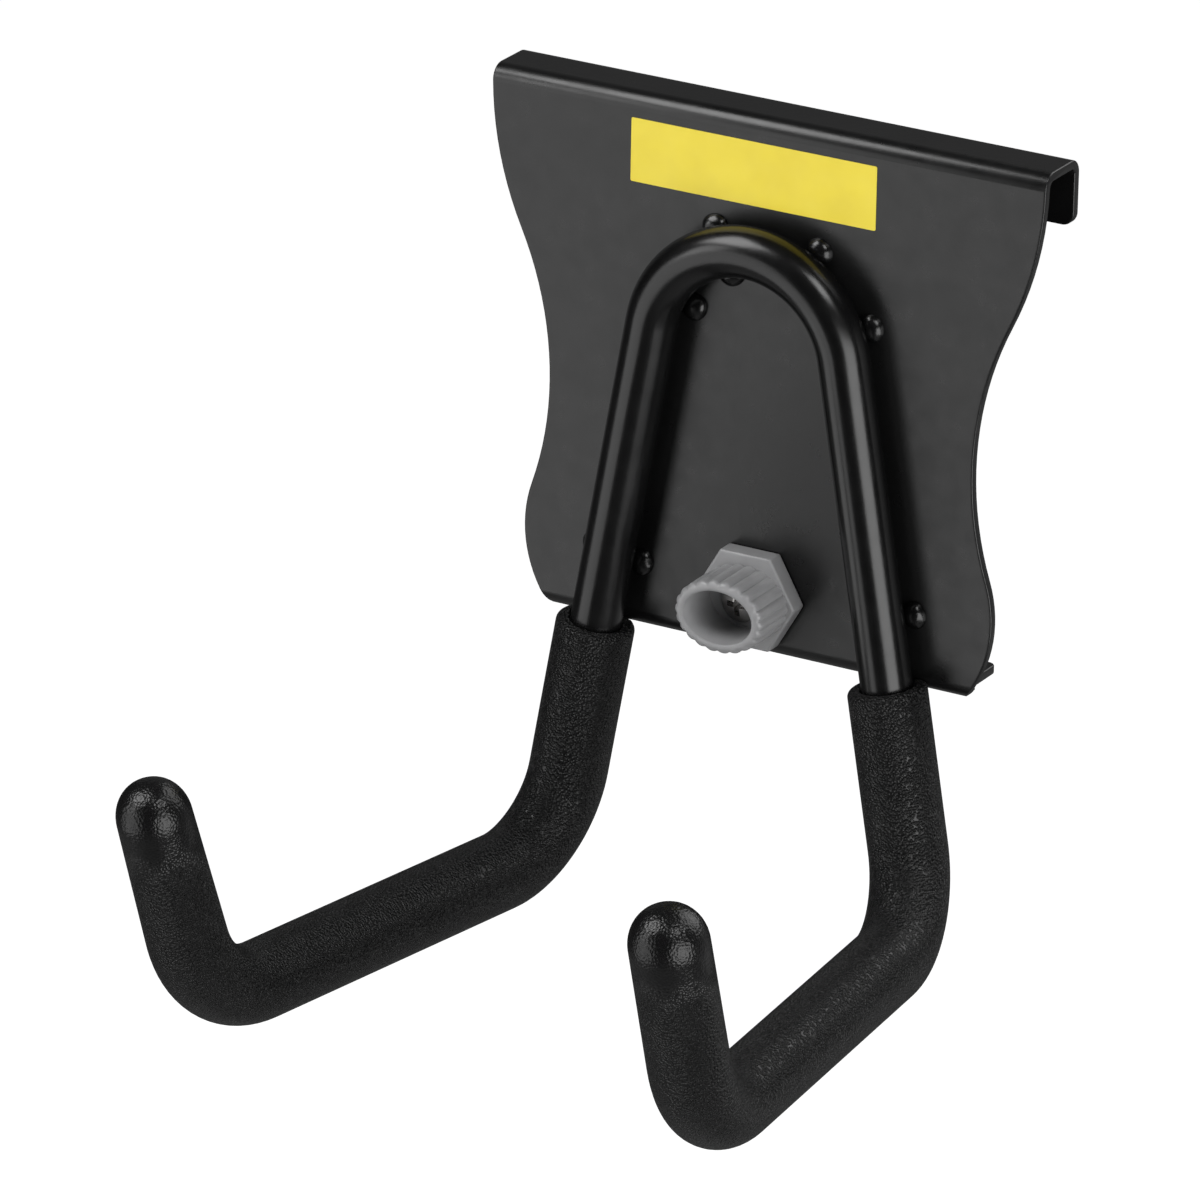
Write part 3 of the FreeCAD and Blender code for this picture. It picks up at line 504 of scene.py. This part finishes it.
# %% [markdown]
# Twelve short welds hold the rod to the plate, in pairs across the bar. Each is a small
# frozen puddle: longer along the joint than across, low, and never quite the same as its
# neighbour. A ball is stretched and flattened for each one, its points are pushed in and
# out by a smooth noise, and what would lie deep inside the plate is cut away.

# %% Welds
PLATE_FRONT = -0.00665
LEG_WELD_LEVEL = -0.0909
WELD_ACROSS = 0.0025
WELD_ALONG = 0.0028
WELD_HIGH = 0.0019
WELD_UNEVEN = 0.06
WELD_SUNK = 0.0002
CROWN_WELDS = ((21, 5.2, 4.5), (61, 5.3, 4.4), (114, 5.4, 4.1), (157, 5.6, 4.0))
LEG_WELDS = ((-1, 4.9, 5.6), (1, 5.0, 4.8))


def weld_places():
    """For each welded place: middle of the rod, the way across it, and both offsets."""
    for degrees, inside, outside in CROWN_WELDS:
        across = Vector((math.cos(math.radians(degrees)), 0, math.sin(math.radians(degrees))))
        yield CROWN + across * CROWN_RADIUS, across, inside * MM, outside * MM
    for side, left, right in LEG_WELDS:
        start = leg_top(side)
        along = (corners(side)[0] - start).normalized()
        spot = start + along * ((LEG_WELD_LEVEL - start.z) / along.z)
        yield spot, -along.cross(Vector((0, 1, 0))), left * MM, right * MM


def weld(bm, centre, across, number):
    """One puddle of weld metal on the plate's face."""
    made = bmesh.ops.create_icosphere(bm, subdivisions=4, radius=1.0)["verts"]
    for vert in made:
        shift = vert.co * 1.3 + Vector((number * 3.1, 0, 0))
        vert.co *= 1 + WELD_UNEVEN * noise.noise(shift)
    lengthwise = across.cross(Vector((0, 1, 0))).normalized()
    axes = (across * WELD_ACROSS, lengthwise * WELD_ALONG, Vector((0, -WELD_HIGH, 0)))
    stretched = Matrix.Translation(centre) @ Matrix(axes).transposed().to_4x4()
    bmesh.ops.transform(bm, matrix=stretched, verts=made)


bm = bmesh.new()
number = 0
for spot, across, near_side, far_side in weld_places():
    for shift in (-near_side, far_side):
        number += 1
        on_plate = Vector((spot.x, PLATE_FRONT, spot.z)) + across * shift
        weld(bm, on_plate, across, number)
whole = list(bm.verts) + list(bm.edges) + list(bm.faces)
bmesh.ops.bisect_plane(bm, geom=whole, dist=1e-7, clear_outer=True,
                       plane_co=(0, PLATE_FRONT + WELD_SUNK, 0), plane_no=(0, 1, 0))
bmesh.ops.holes_fill(bm, edges=[edge for edge in bm.edges if edge.is_boundary])
weld_mesh = to_mesh(bm, "weld_puddles")
finish_piece("weld_puddles", weld_mesh, rod_coat, "bracket", "weld_beads")

# %% [markdown]
# The lock is one moulding in grey plastic: a flat hexagon against the plate and a
# fluted oval collar in front of it. The hexagon starts as a circle of six points and is
# drawn out and bevelled. The collar starts as a round ring that is squeezed into an oval.
# Between two crests its points move in by up to the depth of a flute, and the flutes
# die away as the ring rolls over the rim.

# %% Grey plastic
knob_plastic, shader = new_finish("knob_grey_plastic", (0.27, 0.27, 0.275), 0.34)
where = place_of(knob_plastic)
cloud = spread(knob_plastic, grain(knob_plastic, where, 0.005), 0, 1)
grey = tint(knob_plastic, cloud, (0.25, 0.25, 0.255), (0.28, 0.28, 0.285))
link(knob_plastic, grey, shader.inputs["Base Color"])
rough = spread(knob_plastic, grain(knob_plastic, where, 0.002), 0.30, 0.38)
link(knob_plastic, rough, shader.inputs["Roughness"])
spark = bump(knob_plastic, grain(knob_plastic, where, 0.00025), 0.00002, 0.5)
link(knob_plastic, spark, shader.inputs["Normal"])
print("plastic", knob_plastic.name)

# %% Sizes and helpers of the lock
LOCK = Vector((0, 0, -0.0931))
HEX_FLATS = 0.0188
HEX_THICK = 0.004
HEX_BACK = -0.0068
HEX_FRONT = HEX_BACK - HEX_THICK
COLLAR_LONG = 0.0105
COLLAR_SUNK = 0.0006
COLLAR_FRONT = HEX_FRONT - COLLAR_LONG
COLLAR_WIDE = 0.0095
COLLAR_TALL = 0.0073
FLUTE_COUNT = 22
FLUTE_POINTS = 12
FLUTE = 0.00055
GROOVE_ROUND = 0.02
CREST_WIDTH = 0.7
RIM = 0.0013
RIM_STEPS = 6
BORE_WIDE = 0.0073
BORE_TALL = 0.0052
BORE_TAPER = 0.0002
BORE_LIP = ((0.0006, 0.0), (0.00035, 0.00003), (0.00012, 0.00016), (0.0, 0.0005))
BORE_FLOOR = HEX_BACK - 0.0044


def grip_ring(points, turn, y, half_width, half_height, flute=0.0):
    """Lays a ring of points on an oval that faces the user, with one crest per flute."""
    for vert in points:
        angle = vert[turn]
        wave = math.sqrt(math.cos(FLUTE_COUNT * angle / 2) ** 2 + GROOVE_ROUND)
        crest = flute * (wave ** CREST_WIDTH - 1)
        vert.co = LOCK + Vector((math.cos(angle) * (half_width + crest), y,
                                 math.sin(angle) * (half_height + crest)))


def grip_wall(bm, stations):
    """Extrudes one ring through a list of stations, from the hexagon to the bore's floor."""
    turn = bm.verts.layers.float.new("turn")
    points = bmesh.ops.create_circle(bm, radius=1.0, segments=FLUTE_COUNT * FLUTE_POINTS)["verts"]
    for vert in points:
        vert[turn] = math.atan2(vert.co.y, vert.co.x)
    edges = list({edge for vert in points for edge in vert.link_edges})
    grip_ring(points, turn, *stations[0])
    for station in stations[1:]:
        made = bmesh.ops.extrude_edge_only(bm, edges=edges)["geom"]
        points = [item for item in made if isinstance(item, bmesh.types.BMVert)]
        edges = [item for item in made if isinstance(item, bmesh.types.BMEdge)]
        grip_ring(points, turn, *station)
    bmesh.ops.holes_fill(bm, edges=edges)


print("collar", COLLAR_LONG / MM, "mm long with", FLUTE_COUNT, "flutes")

# %% Hexagon
HEX_BEVEL = 0.00035
HEX_WALL_AREA = 2e-5
HEX_WALL_FRAME = 0.0002

bm = bmesh.new()
stand_up = Matrix.Rotation(math.radians(90), 4, "X")
facing_user = Matrix.Translation((0, HEX_BACK, LOCK.z)) @ stand_up
flats_level = facing_user @ Matrix.Rotation(math.radians(30), 4, "Z")
corner_radius = HEX_FLATS / 2 / math.cos(math.radians(30))
bmesh.ops.create_circle(bm, cap_ends=True, radius=corner_radius, segments=6, matrix=flats_level)
drawn = bmesh.ops.extrude_face_region(bm, geom=list(bm.faces))["geom"]
face_front = [item for item in drawn if isinstance(item, bmesh.types.BMVert)]
bmesh.ops.translate(bm, verts=face_front, vec=(0, HEX_FRONT - HEX_BACK, 0))
bmesh.ops.recalc_face_normals(bm, faces=bm.faces)
bmesh.ops.bevel(bm, geom=list(bm.edges), offset=HEX_BEVEL, affect="EDGES", segments=3,
                profile=0.5, material=-1)
keep_flat(bm, HEX_WALL_AREA, HEX_WALL_FRAME)
print("hexagon", len(bm.faces), "faces")

# %% Collar and bore
stations = [(HEX_FRONT + COLLAR_SUNK, COLLAR_WIDE, COLLAR_TALL, FLUTE),
            (COLLAR_FRONT + RIM + 0.0018, COLLAR_WIDE, COLLAR_TALL, FLUTE)]
for step in range(RIM_STEPS + 1):
    angle = math.radians(90 / RIM_STEPS * step)
    drop = RIM * (1 - math.cos(angle))
    forward = COLLAR_FRONT + RIM * (1 - math.sin(angle))
    stations.append((forward, COLLAR_WIDE - drop, COLLAR_TALL - drop, FLUTE * math.cos(angle)))
for wider, deeper in BORE_LIP:
    stations.append((COLLAR_FRONT + deeper, BORE_WIDE + wider, BORE_TALL + wider))
stations.append((BORE_FLOOR, BORE_WIDE - BORE_TAPER, BORE_TALL - BORE_TAPER))
grip_wall(bm, stations)
knob_mesh = to_mesh(bm, "lock_knob_grip")
finish_piece("lock_knob_grip", knob_mesh, knob_plastic, "lock", "lock_knob")

# %% [markdown]
# The screw in the collar and the cam behind the plate keep their CAD shapes, which are
# small and already right. They only get their finishes: dark plated steel for the screw,
# with faint turning marks, and the same grey plastic for the cam.

# %% Screw and cam
screw_steel, shader = new_finish("screw_dark_steel", (0.40, 0.39, 0.38), 0.20, metallic=1.0)
where = place_of(screw_steel)
rings = add(screw_steel, "ShaderNodeTexWave", wave_type="RINGS", rings_direction="Y")
rings.inputs["Scale"].default_value = 900
rings.inputs["Distortion"].default_value = 1.2
centred = add(screw_steel, "ShaderNodeMapping")
centred.inputs["Location"].default_value = (0, 0, -LOCK.z)
link(screw_steel, where, centred.inputs["Vector"])
link(screw_steel, centred.outputs["Vector"], rings.inputs["Vector"])
link(screw_steel, bump(screw_steel, rings.outputs["Fac"], 0.000003, 0.2), shader.inputs["Normal"])
rough = spread(screw_steel, grain(screw_steel, where, 0.0006), 0.16, 0.26)
link(screw_steel, rough, shader.inputs["Roughness"])
for name, finish in (("lock_screw", screw_steel), ("lock_cam", knob_plastic)):
    mesh = nodes[name].data
    mesh.materials.clear()
    mesh.materials.append(finish)
    print(name, "wears", finish.name)

# %% [markdown]
# A plain yellow sticker sits near the top of the plate. It carries no words here. It is
# a sheet of vinyl a tenth of a millimetre thick with slightly rounded corners: a flat
# rectangle whose four corner points are bevelled, then drawn out to its thickness.

# %% Sticker vinyl
sticker_vinyl, shader = new_finish("sticker_yellow_vinyl", (0.84, 0.68, 0.045), 0.38)
where = place_of(sticker_vinyl)
cloud = spread(sticker_vinyl, grain(sticker_vinyl, where, 0.009), 0, 1)
yellow = tint(sticker_vinyl, cloud, (0.80, 0.64, 0.040), (0.86, 0.70, 0.050))
link(sticker_vinyl, yellow, shader.inputs["Base Color"])
rough = spread(sticker_vinyl, grain(sticker_vinyl, where, 0.003), 0.34, 0.46)
link(sticker_vinyl, rough, shader.inputs["Roughness"])
waves = bump(sticker_vinyl, grain(sticker_vinyl, where, 0.0014), 0.00002, 0.4)
link(sticker_vinyl, waves, shader.inputs["Normal"])
print("vinyl", sticker_vinyl.name)

# %% Sticker
STICKER_WIDE = 0.0524
STICKER_TALL = 0.0126
STICKER_THICK = 0.0001
STICKER_CORNER = 0.0003
STICKER_MIDDLE = Vector((-0.0024, PLATE_FRONT, -0.00925))

bm = bmesh.new()
bmesh.ops.create_grid(bm, x_segments=1, y_segments=1, size=0.5)
bmesh.ops.scale(bm, verts=bm.verts, vec=(STICKER_WIDE, STICKER_TALL, 1))
bmesh.ops.bevel(bm, geom=list(bm.verts), offset=STICKER_CORNER, affect="VERTICES", segments=4,
                profile=0.5, material=-1)
seat = Matrix.Translation(STICKER_MIDDLE) @ stand_up
bmesh.ops.transform(bm, matrix=seat, verts=bm.verts)
raised = bmesh.ops.extrude_face_region(bm, geom=list(bm.faces))["geom"]
face_front = [item for item in raised if isinstance(item, bmesh.types.BMVert)]
bmesh.ops.translate(bm, verts=face_front, vec=(0, -STICKER_THICK, 0))
sticker_mesh = to_mesh(bm, "plain_sticker")
finish_piece("plain_sticker", sticker_mesh, sticker_vinyl, "bracket")

# %% [markdown]
# The stage is a plain white floor well below the hanging hook. To the camera, the paper
# is pale and glows at almost full strength, so it reads as the white of a catalogue
# page. The hook itself sees a darker paper, and mirrors only a trace of that glow,
# because black gloss over a bright floor would turn grey from below. The world round it
# is white to the camera too, and nearly dark to everything else.

# %% Floor paper
PAPER_GLOW = 0.96
MIRRORED_SHARE = 0.02

paper, shader = new_finish("floor_white_paper", (0.86, 0.86, 0.86), 0.9, specular=0.1)
rays = add(paper, "ShaderNodeLightPath")
sheet = tint(paper, rays.outputs["Is Camera Ray"], (0.28, 0.28, 0.28), (0.86, 0.86, 0.86))
link(paper, sheet, shader.inputs["Base Color"])
mirrored = add(paper, "ShaderNodeMath", operation="MULTIPLY")
link(paper, rays.outputs["Is Glossy Ray"], mirrored.inputs[0])
mirrored.inputs[1].default_value = MIRRORED_SHARE
seen = add(paper, "ShaderNodeMath", operation="MAXIMUM")
link(paper, rays.outputs["Is Camera Ray"], seen.inputs[0])
link(paper, mirrored.outputs["Value"], seen.inputs[1])
also = add(paper, "ShaderNodeMath", operation="MAXIMUM")
link(paper, seen.outputs["Value"], also.inputs[0])
link(paper, rays.outputs["Is Transmission Ray"], also.inputs[1])
glow = add(paper, "ShaderNodeMath", operation="MULTIPLY")
link(paper, also.outputs["Value"], glow.inputs[0])
glow.inputs[1].default_value = PAPER_GLOW
shader.inputs["Emission Color"].default_value = (1, 1, 1, 1)
link(paper, glow.outputs["Value"], shader.inputs["Emission Strength"])
print("paper", paper.name)

# %% Floor and world
FLOOR_LEVEL = -1.05
FLOOR_HALF = 8

bm = bmesh.new()
bmesh.ops.create_grid(bm, x_segments=1, y_segments=1, size=FLOOR_HALF)
bmesh.ops.translate(bm, verts=bm.verts, vec=(0, 0, FLOOR_LEVEL))
floor_mesh = bpy.data.meshes.new("floor")
bm.to_mesh(floor_mesh)
bm.free()
floor = bpy.data.objects.new("floor", floor_mesh)
floor_mesh.materials.append(paper)
bpy.context.scene.collection.objects.link(floor)
floor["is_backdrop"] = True

world = bpy.data.worlds.new("studio")
bpy.context.scene.world = world
world.use_nodes = True
sky = world.node_tree.nodes["Background"]
sky.inputs["Color"].default_value = (1, 1, 1, 1)
rays = world.node_tree.nodes.new("ShaderNodeLightPath")
bright = world.node_tree.nodes.new("ShaderNodeMapRange")
world.node_tree.links.new(rays.outputs["Is Camera Ray"], bright.inputs["Value"])
bright.inputs["To Min"].default_value = 0.01
bright.inputs["To Max"].default_value = 1.0
world.node_tree.links.new(bright.outputs["Result"], sky.inputs["Strength"])
print("floor at", round(FLOOR_LEVEL, 3))

# %% [markdown]
# Black gloss shows its lamps and little else, so the lamps draw the picture: each bar
# carries one narrow bright line and one broad dim one. Two very large soft boxes low on
# either side make the broad lines, and small ones at the front left and high on the
# right make narrow ones. A wider box high on the left lies just where the plate's top
# bend mirrors it to the camera, so the bend shines from end to end, and a faint one
# behind does the same for the flat top. Two more behind light the back, which this
# camera never sees.
# All stay weak enough that the sticker keeps its written yellow.

# %% Lights
BOX_DISTANCE = 1.2
SMALL_BOX = 0.4
WIDE_BOX = 0.65
RIGHT_BOX = 0.95
LARGE_BOX = 1.1


def soft_box(name, azimuth, elevation, side, power):
    """A square lamp that faces the hook from a compass angle and a height."""
    lamp = bpy.data.lights.new(name, "AREA")
    lamp.size = side
    lamp.energy = power
    holder = bpy.data.objects.new(name, lamp)
    azimuth, elevation = math.radians(azimuth), math.radians(elevation)
    way = Vector((math.sin(azimuth) * math.cos(elevation),
                  -math.cos(azimuth) * math.cos(elevation), math.sin(elevation)))
    turn = way.to_track_quat("Z", "Y").to_matrix().to_4x4()
    holder.visible_camera = False
    holder.matrix_world = Matrix.Translation(AIM + way * BOX_DISTANCE) @ turn
    bpy.context.scene.collection.objects.link(holder)
    print(name, power, "W")


soft_box("large_left", -40, -12, LARGE_BOX, 6.0)
soft_box("large_right", 64, -8, RIGHT_BOX, 12.0)
soft_box("front_left", -45, 20, SMALL_BOX, 1.8)
soft_box("high_left", -51, 52, WIDE_BOX, 9.0)
soft_box("high_right", 60, 50, SMALL_BOX, 3.6)
soft_box("behind", -153, 22, LARGE_BOX, 0.4)
soft_box("high_behind", 150, 40, LARGE_BOX, 9.0)
soft_box("low_behind", 140, -12, LARGE_BOX, 0.9)

# %% [markdown]
# Last, the box round the finished look is compared with the CAD box, and how far the look reaches
# past it on each side is printed.

# %% Sizes and finish
look_low, look_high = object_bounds()
below = [round(max(cad - look, 0) / MM, 3) for cad, look in zip(cad_low, look_low)]
above = [round(max(look - cad, 0) / MM, 3) for cad, look in zip(cad_high, look_high)]
print("grown by mm", below, above)
